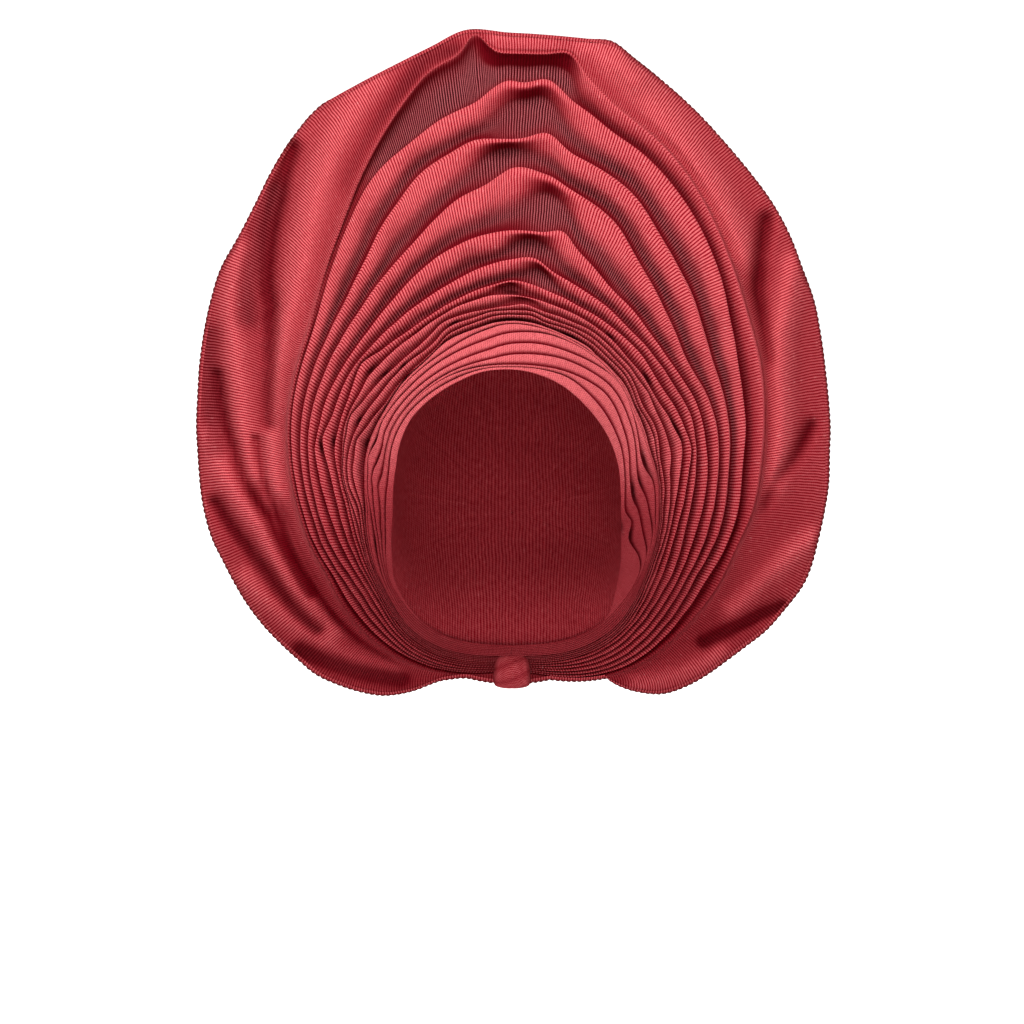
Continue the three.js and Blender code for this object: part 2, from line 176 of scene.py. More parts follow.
# The rim is the outline of the whole fan.
rimReadings = {
    -84: 108, -72: 108, -62: 112, -60: 122.7, -57.5: 131.4, -55: 138.2, -50: 149.1, -45: 155,
    -40: 159.7, -35: 164, -30: 169.5, -25: 176.4, -20: 181.8, -12.5: 190.2, -5: 193.6, 0: 196.5, 5: 200,
    10: 202.8, 15: 207.3, 20: 211.7, 25: 217.3, 30: 224.2, 35: 232, 40: 238.6, 45: 247, 50: 254.5,
    55: 261, 60: 268.3, 65: 277, 70: 286, 75: 296, 78.5: 303.5, 81: 302, 85: 301.5, 90: 302, 95: 305.5,
    100: 297.5, 105: 291, 110: 286.5, 115: 283, 120: 274, 125: 263, 130: 252, 135: 244, 140: 239,
    145: 231.5, 150: 224, 155: 217, 160: 210.5, 165: 205.5, 170: 200.5, 180: 193.5, 185: 189.5,
    190: 184, 200: 175.7, 205: 171.5, 210: 167.1, 215: 163.2, 219: 160.7, 225: 153.9, 230: 147.8,
    235: 140.9, 240: 131, 248: 114, 256: 108, 264: 108,
}

# Short peaks that folds make near the top: fold, angle, height, half width in degrees.
peakReadings = [
    ("crest8", 79.5, 4.5, 2.6), ("crest9", 88.5, 2.5, 3.0), ("crest10", 84.5, 6.0, 2.6),
    ("crest11", 85, 5.5, 2.4), ("crest11", 90.5, 3.0, 1.6), ("crest7", 86.5, 1.6, 3.0),
    ("crest4", 87, 1.0, 2.5), ("panelEdge", 83, 3.0, 2.0), ("panelEdge", 94.4, 12.0, 1.6),
]

# Sharp corners of folds at the sides: fold, angle, height, half width in degrees.
cornerReadings = [
    ("crest8", 162.2, 1.7, 7), ("crest7", 158.6, 2.3, 7), ("crest4", 149, 1.9, 6),
    ("crest2", 155, 2.2, 6), ("crest6", 135.5, 1.8, 6), ("crest5", 137, 1.3, 5),
    ("crest6", 19.5, 1.7, 6), ("crest5", 22.5, 1.5, 6), ("crest4", 41, 1.3, 6), ("crest7", 29, 1.2, 7),
]

# Where the underside of a fold reaches up in a sharp arch: fold, angle, half width in degrees.
archReadings = [
    ("crest5", 87, 4.0), ("crest6", 91.5, 3.6), ("crest7", 83, 4.0), ("crest8", 86, 4.5),
    ("crest9", 83.5, 4.5), ("crest10", 91.5, 5.0), ("crest11", 87.5, 4.5), ("panelEdge", 87, 9.0),
]

# How far back the inmost edge and the rim lie: angle: (inmost edge, rim).
depthReadings = {
    -84: (82, 97), -70: (75, 86), -50: (45, 60), -35: (22, 47), -20: (-12, 38), 0: (-35, 33),
    30: (-52, 36), 60: (-70, 40), 90: (-78, 42), 120: (-70, 40), 150: (-52, 36), 180: (-35, 33),
    200: (-12, 38), 215: (22, 47), 230: (45, 60), 250: (75, 86), 264: (82, 97),
}

# Painted shadow in the pockets just outside a fold's edge: fold, angle, half width in degrees, half height
# in millimetres.
pocketReadings = [
    ("crest7", 161, 2.4, 1.5), ("crest6", 158.3, 1.8, 1.1), ("crest3", 149, 2.0, 1.1),
    ("bandTop", 154.5, 2.4, 1.1), ("crest5", 134.8, 2.2, 1.5), ("crest4", 132.5, 2.2, 1.2),
    ("bandTop", 128, 3.0, 1.2), ("crest3", 126.6, 1.8, 1.0), ("crest3", 107, 2.0, 1.0),
    ("crest5", 60.8, 2.0, 1.2), ("crest5", 45, 2.6, 1.4), ("crest5", 27, 5.0, 1.1),
    ("bandTop", 90, 8.0, 1.1), ("bandTop", 72, 4.5, 0.9), ("crest5", 90, 2.6, 1.3),
    ("strip2", 9.5, 6.5, 1.4), ("strip3", 13, 3.6, 0.9), ("strip4", 21, 5.5, 1.5),
    ("strip1", -11, 4.0, 1.1), ("strip5", 153, 2.8, 0.7), ("strip4", 158.5, 3.6, 0.6),
    ("strip2", 164.5, 3.4, 0.4), ("strip5", 193, 4.0, 0.7), ("faceEdge", -8, 4.0, 0.8),
]

# Soft waves over the outer panel, as lines of (angle, distance): height in millimetres, half width, and
# how open the mesh, with its gaps of painted shade, shows where the wave is a hollow.
panelWaves = {
    "topFlap": {"height": 5.0, "width": 9.0, "line": [(74, 283), (80, 297), (88, 298), (94, 302)]},
    "topHollow": {"height": -5.0, "width": 7.0, "mesh": 0.3,
        "line": [(97, 292), (101, 290), (105, 270), (111, 247), (116, 228)]},
    "leftCrest": {"height": 7.5, "width": 8.5,
        "line": [(108, 285), (115, 262), (120, 243), (125, 225), (131, 205), (137, 190.5), (145, 178),
                 (154, 165), (164, 154), (175, 146)]},
    "leftHollow": {"height": -9.0, "width": 4.6, "mesh": 0.1,
        "line": [(121, 268), (127, 246), (132, 229), (137, 211.5), (139.5, 199.7), (144, 188),
                 (149, 178), (155, 169.5), (160, 163)]},
    "upperHollow": {"height": -4.5, "width": 8.0, "mesh": 0.35,
        "line": [(127, 252), (133, 236), (139, 222), (144, 208)]},
    "earCrest": {"height": 6.0, "width": 7.0,
        "line": [(136, 238), (143, 222), (150, 203), (156, 189), (165, 175), (172, 165)]},
    "rimHollow": {"height": -4.5, "width": 8.0, "mesh": 0.3,
        "line": [(150, 222), (157, 208), (163, 199), (168, 193)]},
    "earCrease": {"height": -7.0, "width": 3.6,
        "line": [(155, 205), (161, 193), (167, 180), (172.6, 171), (177.6, 161.2), (181.4, 153.8),
                 (188.5, 146.5), (194, 142), (202, 137)]},
    "cheekCrease": {"height": -6.0, "width": 2.3,
        "line": [(164, 168), (172, 158.5), (177.5, 150.8), (183.6, 144.6), (192.4, 139.3), (202, 133.1),
                 (210.3, 129.7), (218.4, 125.6), (228.7, 119.5), (238, 112)]},
    "jawFold": {"height": -3.6, "width": 1.6,
        "line": [(176, 147.5), (184.5, 138.6), (193.9, 133), (202.2, 128), (210.7, 123.6),
                 (219.5, 119)]},
    "lobeCrest": {"height": 5.5, "width": 7.0,
        "line": [(166, 200), (172, 186), (178, 171), (184, 159), (193, 150), (203, 143), (214, 136)]},
    "lobeHollow": {"height": -7.0, "width": 4.2, "mesh": 0.15,
        "line": [(178, 187), (183, 177), (188, 167), (194, 158), (202, 151), (211, 143)]},
    "lowCrest": {"height": 5.0, "width": 7.0,
        "line": [(194, 174), (202, 162), (212, 150), (224, 136), (234, 124)]},
    "lowHollow": {"height": -8.0, "width": 5.5, "mesh": 0.15,
        "line": [(213, 158), (220, 147), (228, 136), (236, 126)]},
    "rightCrest": {"height": 7.0, "width": 8.0,
        "line": [(6, 166), (16, 177), (26, 189), (33, 203), (38, 222), (41, 236)]},
    "rightHollow": {"height": -7.5, "width": 5.0, "mesh": 0.1,
        "line": [(31, 186), (37, 196), (42, 208), (46, 225), (49, 244)]},
    "browCrest": {"height": 7.0, "width": 10.0,
        "line": [(48, 218), (55, 234), (63, 252), (70, 270), (76, 290)]},
    "templeHollow": {"height": -6.0, "width": 4.5, "mesh": 0.1,
        "line": [(2, 158), (8, 171), (12, 184), (16, 196)]},
    "cheekCrest": {"height": 5.0, "width": 7.0, "line": [(-24, 152), (-15, 165), (-8, 180), (-5, 190)]},
    "jawCrease": {"height": -7.0, "width": 4.0, "mesh": 0.1,
        "line": [(-34, 146), (-27, 158), (-22, 170), (-19, 180)]},
    "jawCrest": {"height": 5.0, "width": 7.0, "line": [(-54, 134), (-44, 147), (-34, 158)]},
}


def smoothAt(readings, at):
    # piecewise cubic through the readings whose slope is the harmonic mean of its two neighbours,
    # or nought at a turn, so it never overshoots
    places = np.array(list(readings.keys()), float)
    values = np.array(list(readings.values()), float)
    slopes = np.diff(values) / np.diff(places)
    before, after = slopes[:-1], slopes[1:]
    total = np.where(before * after > 0, before + after, 1.0)
    inner = np.where(before * after > 0, 2 * before * after / total, 0.0)
    tangents = np.concatenate([slopes[:1], inner, slopes[-1:]])
    k = np.clip(np.searchsorted(places, at, side="right") - 1, 0, len(places) - 2)
    width = places[k + 1] - places[k]
    t = (at - places[k]) / width
    rise = values[k + 1] - values[k]
    a, b = width * tangents[k], width * tangents[k + 1]
    return values[k] + a * t + (3 * rise - 2 * a - b) * t * t + (a + b - 2 * rise) * t ** 3


def bell(distance, halfWidth):
    # exp(-(distance / halfWidth) squared)
    return np.exp(-(distance / halfWidth) ** 2)


def ramp(value, low, high):
    # smooth step from 0 at low to 1 at high
    t = np.clip((value - low) / (high - low), 0, 1)
    return t * t * (3 - 2 * t)


def window(value, riseFrom, riseTo, fallFrom, fallTo):
    # rises from 0 to 1 between the first two values, and falls back to 0 between the last two
    return ramp(value, riseFrom, riseTo) * (1 - ramp(value, fallFrom, fallTo))


edgeValues = {
    "spacing": 0.25,       # degrees between the angles that the edges are worked out at
    "sideSoftness": 3.2,   # half width, in degrees, of the bell that evens the readings out
    "bandSoftness": 1.0,   # the same for the band's pleats
    "topSoftness": 0.9,    # the same at the top, where the folds have corners
    "topWidth": 22.0,
    "rimSoftness": 0.8,
    "reach": 2.5,          # the bell is cut off at this many half widths
}


def soften(values, halfWidth):
    # average under a bell of that half width in degrees
    reach = int(math.ceil(edgeValues["reach"] * halfWidth / edgeValues["spacing"]))
    weights = bell(np.arange(-reach, reach + 1) * edgeValues["spacing"], halfWidth)
    return np.convolve(np.pad(values, reach, mode="edge"), weights / weights.sum(), mode="valid")


def makeEdges():
    # every fold's edge, evened out, with its peaks added and kept outside the one before it
    spacing = edgeValues["spacing"]
    angles = np.arange(layout["readFrom"], layout["readTo"] + 0.5 * spacing, spacing)
    top = bell(angles - 90, edgeValues["topWidth"])
    edges = {"angles": angles}
    before = np.zeros_like(angles)
    for order, (name, readings) in enumerate(foldReadings.items()):
        nape = layout["napeInside"] + order
        whole = {layout["readFrom"]: nape, **readings}
        whole.setdefault(layout["readTo"], nape)
        read = smoothAt(whole, angles)
        inBand = not name.startswith("crest") and name != "panelEdge"
        side = soften(read, edgeValues["bandSoftness" if inBand else "sideSoftness"])
        edge = side + (soften(read, edgeValues["topSoftness"]) - side) * top
        for fold, middle, height, halfWidth in peakReadings:
            if fold == name:
                edge = edge + height * bell(angles - middle, halfWidth)
        for fold, middle, height, halfWidth in cornerReadings:
            if fold == name:
                edge = edge + height * np.clip(1 - abs(angles - middle) / halfWidth, 0, 1)
        before = np.maximum(edge, before + layout["leastPleat" if inBand else "leastPitch"])
        edges[name] = before
    rim = soften(smoothAt(rimReadings, angles), edgeValues["rimSoftness"])
    edges["rim"] = np.maximum(rim, before + layout["leastPitch"])
    return edges


madeEdges = makeEdges()


def edgesAt(angles):
    # the edges at any angles, held level beyond the last readings
    return {name: np.interp(angles, madeEdges["angles"], edge) for name, edge in madeEdges.items()}


def leanDepth(angles, radius, edges):
    # the leaning surface between the inmost edge and the rim: depth rises evenly with distance
    held = np.clip(angles, layout["readFrom"], layout["readTo"])
    near = smoothAt({a: d[0] for a, d in depthReadings.items()}, held)
    far = smoothAt({a: d[1] for a, d in depthReadings.items()}, held)
    return near + (far - near) * (radius - edges["faceEdge"]) / (edges["rim"] - edges["faceEdge"])


def place(angles, radius, depth):
    # angle, distance as seen from the front and depth, to a point in metres
    turn = np.radians(angles)
    seen = radius * (1 + depth / layout["sightDistance"])
    x = layout["axisOffset"] + seen * np.cos(turn)
    z = seen * np.sin(turn) - layout["crownHeight"]
    return np.stack([x, depth + 0 * x, z], -1) * milli


def refine(rows, steps):
    # Catmull-Rom curve through the rows, with that many steps between each pair
    padded = np.concatenate([2 * rows[:1] - rows[1:2], rows, 2 * rows[-1:] - rows[-2:-1]])
    before, here, after, beyond = padded[:-3], padded[1:-2], padded[2:-1], padded[3:]
    parts = []
    for t in np.arange(steps) / steps:
        square = 2 * before - 5 * here + 4 * after - beyond
        cube = 3 * here - before - 3 * after + beyond
        parts.append(0.5 * (2 * here + (after - before) * t + square * t * t + cube * t ** 3))
    mixed = np.stack(parts, 1).reshape(-1, *rows.shape[1:])
    return np.concatenate([mixed, rows[-1:]])


rippleValues = {
    "pace": 1.7,     # radians of a wave for each degree, times its rate
    "weakest": 0.4,  # as a share of the strongest wave
}


def ripple(angles, seed, size, waves=9, slowest=0.05, fastest=0.45):
    # sum of sines in the angle with seeded phases, for the small unevenness of hand-set folds
    rng = np.random.default_rng(seed)
    total = np.zeros_like(angles)
    for rate in np.linspace(slowest, fastest, waves):
        wave = np.sin(rate * angles * rippleValues["pace"] + rng.uniform(0, 2 * math.pi))
        total = total + wave * rng.uniform(rippleValues["weakest"], 1.0)
    return size * total / math.sqrt(waves)


def lengthAlong(points, axis):
    # running length of a grid of points along one of its axes
    step = np.linalg.norm(np.diff(points, axis=axis), axis=-1)
    start = np.zeros_like(np.take(step, [0], axis=axis))
    return np.concatenate([start, np.cumsum(step, axis=axis)], axis=axis)


def gridPiece(name, points, uv, closed=False, **marks):
    # one quad for each cell of a rows x columns grid of points; marks become point attributes, from 0 to 1
    rows, columns = points.shape[:2]
    index = np.arange(rows * columns).reshape(rows, columns)
    if closed:
        index = np.concatenate([index, index[:, :1]], 1)
    faces = np.stack([index[:-1, :-1], index[1:, :-1], index[1:, 1:], index[:-1, 1:]], -1).reshape(-1, 4)
    mesh = bpy.data.meshes.new(name)
    mesh.vertices.add(rows * columns)
    mesh.vertices.foreach_set("co", points.reshape(-1).astype(np.float32))
    mesh.loops.add(faces.size)
    mesh.loops.foreach_set("vertex_index", faces.reshape(-1).astype(np.int32))
    mesh.polygons.add(len(faces))
    mesh.polygons.foreach_set("loop_start", np.arange(len(faces), dtype=np.int32) * 4)
    mesh.polygons.foreach_set("use_smooth", np.ones(len(faces), bool))
    layer = mesh.uv_layers.new(name="cloth")
    layer.data.foreach_set("uv", uv.reshape(-1, 2)[faces.reshape(-1)].reshape(-1).astype(np.float32))
    for mark, values in marks.items():
        attribute = mesh.attributes.new(mark, "FLOAT", "POINT")
        everywhere = np.broadcast_to(np.clip(values, 0, 1), points.shape[:2])
        attribute.data.foreach_set("value", everywhere.reshape(-1).astype(np.float32))
    mesh.update()
    mesh.validate()
    piece = bpy.data.objects.new(name, mesh)
    bpy.context.scene.collection.objects.link(piece)
    return piece


def thicken(piece, wall):
    # gives a sheet its thickness, behind the side that faces out
    solid = piece.modifiers.new("wall", "SOLIDIFY")
    solid.thickness = wall * milli
    solid.offset = -1
    return piece


# Camera: level, at the photograph's viewing place.
cameraValues = {
    "distance": 1.5,
    "sensor": 36.0,
    "pictureWidth": 0.64512,  # metres that the picture spans in the plane of the folds' axis
}


def makeCamera():
    # looks along +Y at the folds' axis; the lens makes the picture that wide at that distance
    data = bpy.data.cameras.new("photo_camera")
    data.sensor_width = cameraValues["sensor"]
    data.lens = cameraValues["sensor"] * cameraValues["distance"] / cameraValues["pictureWidth"]
    camera = bpy.data.objects.new("photo_camera", data)
    height = -layout["crownHeight"] * milli
    camera.location = (layout["axisOffset"] * milli, -cameraValues["distance"], height)
    camera.rotation_euler = (math.pi / 2, 0, 0)
    bpy.context.scene.collection.objects.link(camera)
    bpy.context.scene.camera = camera


# Shader helpers.
class Wire:
    # a socket that the operators + - * / and their reflected forms work on, each adding one Math node
    def __init__(self, shader, socket):
        self.shader = shader
        self.socket = socket

    def join(self, operation, first, second):
        return self.shader.math(operation, first, second)

    def __add__(self, other):
        return self.join("ADD", self, other)

    def __radd__(self, other):
        return self.join("ADD", other, self)

    def __sub__(self, other):
        return self.join("SUBTRACT", self, other)

    def __rsub__(self, other):
        return self.join("SUBTRACT", other, self)

    def __mul__(self, other):
        return self.join("MULTIPLY", self, other)

    def __rmul__(self, other):
        return self.join("MULTIPLY", other, self)

    def __truediv__(self, other):
        return self.join("DIVIDE", self, other)

    def __rtruediv__(self, other):
        return self.join("DIVIDE", other, self)


class Shader:
    # one material and the few ways its nodes are added
    def __init__(self, name):
        self.material = bpy.data.materials.new(name)
        self.material.use_nodes = True
        self.nodes = self.material.node_tree.nodes
        self.links = self.material.node_tree.links
        self.surface = self.nodes["Principled BSDF"]

    def put(self, socket, value):
        if isinstance(value, Wire):
            self.links.new(value.socket, socket)
        else:
            socket.default_value = value

    def node(self, kind, settings=None, values=None):
        made = self.nodes.new(kind)
        for key, setting in (settings or {}).items():
            setattr(made, key, setting)
        for key, value in (values or {}).items():
            self.put(made.inputs[key], value)
        return made

    def out(self, made, key=0):
        return Wire(self, made.outputs[key])

    def math(self, operation, first, second=0.0):
        return self.out(self.node("ShaderNodeMath", {"operation": operation}, {0: first, 1: second}))

    def clamp(self, value):
        return self.out(self.node("ShaderNodeClamp", None, {"Value": value}))

    def mix(self, factor, first, second):
        settings = {"data_type": "RGBA", "clamp_factor": True}
        return self.out(self.node("ShaderNodeMix", settings, {0: factor, 6: first, 7: second}), 2)

    def mark(self, name):
        return self.out(self.node("ShaderNodeAttribute", {"attribute_name": name}), "Fac")

    def step(self, value, low, high):
        values = {"Value": value, "From Min": low, "From Max": high}
        return self.out(self.node("ShaderNodeMapRange", {"interpolation_type": "SMOOTHSTEP"}, values))

    def pair(self, x, y):
        return self.out(self.node("ShaderNodeCombineXYZ", None, {0: x, 1: y}))

    def noise(self, vector, scale, detail=2.0):
        values = {"Vector": vector, "Scale": scale, "Detail": detail}
        return self.out(self.node("ShaderNodeTexNoise", None, values))


# The cloth: ribs run across the folds, with a fine cross thread, and valleys show as dark mesh. Light and
# shade are painted into its colour.
clothValues = {
    # painted light and shade: lit, middle and shade, each with its groove, are lit, half-lit and shaded
    # copies of the cloth's red
    "lit": (0.83, 0.160, 0.175, 1),
    "litGroove": (0.33, 0.003, 0.013, 1),
    "middle": (0.49, 0.060, 0.072, 1),
    "shade": (0.19, 0.002, 0.008, 1),
    "shadeGroove": (0.11, 0.001, 0.004, 1),
    # partly painted shade: the open weave of the sheer cloth is its own, its near-black gaps stand for
    # shade seen through it
    "meshThread": (0.45, 0.108, 0.120, 1),
    "meshGap": (0.028, 0.001, 0.003, 1),
    # near black: painted shadow in the pockets, and the hem's darker tip
    "pocket": (0.040, 0.001, 0.002, 1),
    "glint": (0.95, 0.45, 0.45, 1),
    "crossPitch": 1.5,    # millimetres between cross threads
    "crossShare": 0.3,    # how much the cross thread and the flecks break the ribs up
    "fleckShare": 0.8,
    "drift": 1.2,         # how far ribs wander, in ribs
    "patchTone": 0.25,    # how much wide patches change the painted light and the mesh, at random
    "patchMesh": 0.8,
    "sparkleFrom": 0.70,
    "sparkleTo": 0.86,
    "driftCells": (0.03, 0.05),   # noise cells for each millimetre of u and v, in the ribs' drift
    "patchCells": (0.02, 0.035),  # and in the wide patches
    "fleckCells": 0.28,   # the same for the flecks in v; in u there is one for each rib
    "meshShare": 0.85,    # most of the mesh mark that shows, before patches
    "threadFrom": 0.48,   # open mesh shows only the tops of ribs, broken by flecks and cross threads
    "threadContrast": 3.2,
    "threadFleck": (0.55, 0.9),
    "threadCross": (0.7, 0.5),
    "sparkleRib": (0.6, 0.5),     # flecks glint more on the tops of ribs
    "polish": 0.2,        # and are this much less rough
    "bump": 0.7,
    "ribHeight": 0.35,    # millimetres
    "flatMesh": 0.3,      # shares of the relief: lost in the mesh, and added by cross threads and flecks
    "crossHeight": 0.25,
    "fleckHeight": 0.3,
    "specular": 0.03,
}
# For each weave: millimetres between ribs, how much of the cloth the light threads cover, how sharply
# they stand out, and how much the flecks glint.
weaves = {
    "fan_weave": {"ribPitch": 1.75, "level": 0.55, "contrast": 1.5, "glint": 0.5},
    "inner_fold_weave": {"ribPitch": 1.45, "level": 0.67, "contrast": 1.1, "glint": 0.45},
    "band_weave": {"ribPitch": 1.3, "level": 0.82, "contrast": 0.45, "glint": 0.3},
    "crown_weave": {"ribPitch": 1.5, "level": 0.5, "contrast": 0.8, "glint": 0.2, "roughness": 0.85},
}


def clothMaterial(name, ribPitch, level, contrast, glint, roughness=0.75):
    # ribs and cross threads are sines of the cloth's own length and width, u and v in millimetres
    cloth = Shader(name)
    look = clothValues
    coordinates = cloth.node("ShaderNodeUVMap", {"uv_map": "cloth"})
    along = cloth.node("ShaderNodeSeparateXYZ", None, {0: cloth.out(coordinates)})
    u, v = cloth.out(along, 0) * 1000.0, cloth.out(along, 1) * 1000.0
    slow = cloth.pair(u * look["driftCells"][0], v * look["driftCells"][1])
    drift = cloth.noise(slow, 1.0) * look["drift"]
    rib = cloth.math("SINE", (u / ribPitch + drift) * 2 * math.pi) * 0.5 + 0.5
    cross = cloth.math("SINE", (v / look["crossPitch"] + u / ribPitch * 0.5) * 2 * math.pi) * 0.5 + 0.5
    fleck = cloth.noise(cloth.pair(u / ribPitch, v * look["fleckCells"]), 1.0, 1.0)
    patch = cloth.noise(cloth.pair(u * look["patchCells"][0], v * look["patchCells"][1]), 1.0, 3.0)
    # painted light: the mark runs from painted shade at 0 to painted light at 1, is varied by random wide
    # patches, and mixes the shaded, half-lit and lit copies
    tone = cloth.clamp(cloth.mark("tone") + (patch - 0.5) * look["patchTone"])
    mesh = cloth.clamp(cloth.mark("mesh") * (look["meshShare"] + (patch - 0.5) * look["patchMesh"]))
    thread = cloth.clamp(level + (rib - 0.5) * contrast + (cross - 0.5) * look["crossShare"]
                         + (fleck - 0.5) * look["fleckShare"])
    light = cloth.mix(tone * 2.0 - 1.0, look["middle"], look["lit"])
    dyed = cloth.mix(tone * 2.0, look["shade"], light)
    groove = cloth.mix(tone, look["shadeGroove"], look["litGroove"])
    solid = cloth.mix(thread, groove, dyed)
    # open mesh in valleys and hollows: pale rib tops over near-black gaps of painted shade
    line = cloth.clamp((rib - look["threadFrom"]) * look["threadContrast"])
    line = line * (look["threadFleck"][0] + fleck * look["threadFleck"][1])
    line = line * (look["threadCross"][0] + cross * look["threadCross"][1])
    net = cloth.mix(line, look["meshGap"], look["meshThread"])
    # painted shadow: pockets, and the hem's tip, are mixed towards that near black
    colour = cloth.mix(cloth.mark("pocket"), cloth.mix(mesh, solid, net), look["pocket"])
    # painted glints: the brightest flecks on rib tops are mixed towards a pale pink, only as far as the
    # cloth is painted lit
    shiny = fleck * (look["sparkleRib"][0] + rib * look["sparkleRib"][1])
    sparkle = cloth.step(shiny, look["sparkleFrom"], look["sparkleTo"])
    cloth.put(cloth.surface.inputs["Base Color"], cloth.mix(sparkle * tone * glint, colour, look["glint"]))
    cloth.put(cloth.surface.inputs["Roughness"], roughness - sparkle * look["polish"])
    height = rib * (1.0 - mesh * look["flatMesh"])
    height = height + cross * look["crossHeight"] + fleck * look["fleckHeight"]
    relief = {"Strength": look["bump"], "Distance": look["ribHeight"] * milli, "Height": height}
    cloth.put(cloth.surface.inputs["Normal"], cloth.out(cloth.node("ShaderNodeBump", None, relief)))
    cloth.surface.inputs["Specular IOR Level"].default_value = look["specular"]
    return cloth.material


# The fan's folds. Each row is a place across one fold, from behind the crest before it to its own:
# share of the width out, share of the depth back, painted light from painted shade at 0 to lit at 1, and
# how open the mesh shows.
foldProfiles = {
    "gentle": [
        (0.00, 1.00, 0.00, 0.0), (0.09, 1.00, 0.04, 0.2), (0.20, 0.88, 0.30, 0.9), (0.36, 0.62, 0.62, 0.6),
        (0.54, 0.36, 0.92, 0.1), (0.76, 0.13, 1.00, 0.0), (0.92, 0.02, 1.00, 0.0), (1.00, 0.04, 1.00, 0.0),
    ],
    "tent": [
        (0.00, 1.00, 0.10, 0.3), (0.22, 1.03, 0.25, 1.0), (0.46, 1.00, 0.25, 1.0), (0.66, 0.90, 0.15, 0.8),
        (0.74, 0.62, 0.00, 0.0), (0.86, 0.16, 0.10, 0.0), (0.93, 0.03, 0.95, 0.0), (1.00, 0.05, 1.00, 0.0),
    ],
    "valley": [
        (0.00, 1.00, 0.00, 0.3), (0.10, 1.00, 0.15, 1.0), (0.30, 1.00, 0.20, 1.0), (0.55, 0.92, 0.25, 1.0),
        (0.76, 0.66, 0.18, 0.7), (0.89, 0.32, 0.06, 0.1), (0.96, 0.10, 0.35, 0.0), (1.00, 0.00, 0.75, 0.0),
    ],
    "overhang": [
        (0.00, 1.00, 0.10, 0.4), (0.15, 1.03, 0.25, 1.0), (0.34, 1.03, 0.25, 1.0), (0.50, 1.00, 0.15, 0.7),
        (0.60, 0.85, 0.00, 0.0), (0.84, 0.40, 0.00, 0.0), (0.96, 0.08, 0.05, 0.0), (1.00, 0.00, 0.85, 0.0),
    ],
    "soft": [
        (0.00, 1.00, 0.00, 0.0), (0.12, 0.95, 0.03, 0.1), (0.27, 0.74, 0.25, 0.2), (0.44, 0.50, 0.50, 0.0),
        (0.61, 0.31, 0.65, 0.0), (0.78, 0.15, 0.80, 0.0), (0.90, 0.05, 0.90, 0.0), (1.00, 0.00, 0.95, 0.0),
    ],
}
foldValues = {
    "deepest": 15.0,
    "shallow": 1.6,
    "slope": 0.68,       # depth gained for each millimetre of width
    "bandStep": 1.4,     # the first fold starts further back, clear of the band
    "underBand": 3.2,    # and this far under it
    "underCrest": 0.8,   # as every sheet does under the crest before it
    "startDepth": 0.6,   # share of the depth at which it starts there
    # rows back behind a last crest: shares of overhang and depth, painted light
    "closing": [(0.3, 0.25, 0.4), (1.0, 0.9, 0.0)],
    "overhang": 0.16,    # how far a crest hangs over the valley outside it, as a share of the width
    "mostOverhang": 2.2,
    "meshFrom": 5.0,     # folds wider than this show mesh in their valleys
    "meshTo": 13.0,
    "uneven": 0.18,      # millimetres that an edge wanders, and the shares that depths and arches vary by
    "unevenDepth": 0.08,
    "unevenArch": 0.10,
    "calm": (-84, -60, 240, 264),  # angles between which folds become uneven, and even again
    # strength of the painted shadow in the pockets
    "pocketDark": 1.1,
    "sideShade": 0.36,     # folds get this much painted shade at the sides
    "dimFrom": 50.0,     # between these angles from the top
    "dimTo": 105.0,
    "ribStretch": 0.88,  # the fan's ribs stand this much wider apart than the weave's pitch
    "ribTilt": 0.12,     # ribs lean this much towards the top, millimetres for each one outwards
    "tiltFrom": 35.0,    # and reach it between these angles from the top
    "tiltBy": 75.0,
    "squareRight": 0.8,  # on the right they are nearly square to the fold, and not to the circle
    "squareFrom": 40.0,  # which ends between these angles
    "squareTo": 80.0,
    "evenTurn": 9.0,     # degrees over which their direction is evened out
}
foldSets = {
    "fan_inner_folds": {
        "crests": ["bandTop", "crest2", "crest3", "crest4", "crest5"], "columns": 640, "steps": 2,
    },
    "fan_middle_folds": {"crests": ["crest5", "crest6", "crest7", "crest8"], "columns": 700, "steps": 3},
    "fan_outer_folds": {"crests": ["crest8", "crest9", "crest10", "crest11"], "columns": 760, "steps": 3},
}


def runAlong(angles, radius, edges):
    # length in millimetres along a curve on the leaning surface, measured from the top
    length = lengthAlong(place(angles, radius, leanDepth(angles, radius, edges)), 0) / milli
    return length - np.interp(90, angles, length)


def edgeTurn(name, angles):
    # how fast an edge leaves the circle, as a slope, evened out
    radius = madeEdges[name]
    slope = np.gradient(radius) / math.radians(edgeValues["spacing"]) / radius
    return np.interp(angles, madeEdges["angles"], soften(slope, foldValues["evenTurn"]))


def ribLean(name, angles):
    # what a millimetre outwards adds to the cloth's length along a fold: nought for ribs that point
    # at the axis, the edge's turn for ribs square to the fold
    right = foldValues["squareRight"] * (1 - ramp(angles, foldValues["squareFrom"], foldValues["squareTo"]))
    tilted = ramp(abs(angles - 90), foldValues["tiltFrom"], foldValues["tiltBy"])
    return edgeTurn(name, angles) * right - foldValues["ribTilt"] * np.sign(90 - angles) * tilted


def pocketBeyond(name, angles, beyond):
    # painted shadow in the pockets outside an edge, that many millimetres beyond it
    dark = np.zeros_like(angles)
    for fold, angle, halfWidth, halfHeight in pocketReadings:
        if fold == name:
            dark = np.maximum(dark, bell(angles - angle, halfWidth) * bell(beyond - halfHeight, halfHeight))
    return np.clip(foldValues["pocketDark"] * dark, 0, 1)


def foldDepth(width):
    # how deep a fold of that width reaches behind its crest
    return np.minimum(foldValues["deepest"], foldValues["shallow"] + foldValues["slope"] * width)


def sheetRow(*values):
    # one row of a sheet: distance, depth, painted light, mesh, painted shadow of pockets and the hem's
    # darker tip, and the cloth's own length along it
    return np.stack(np.broadcast_arrays(*values), 0)


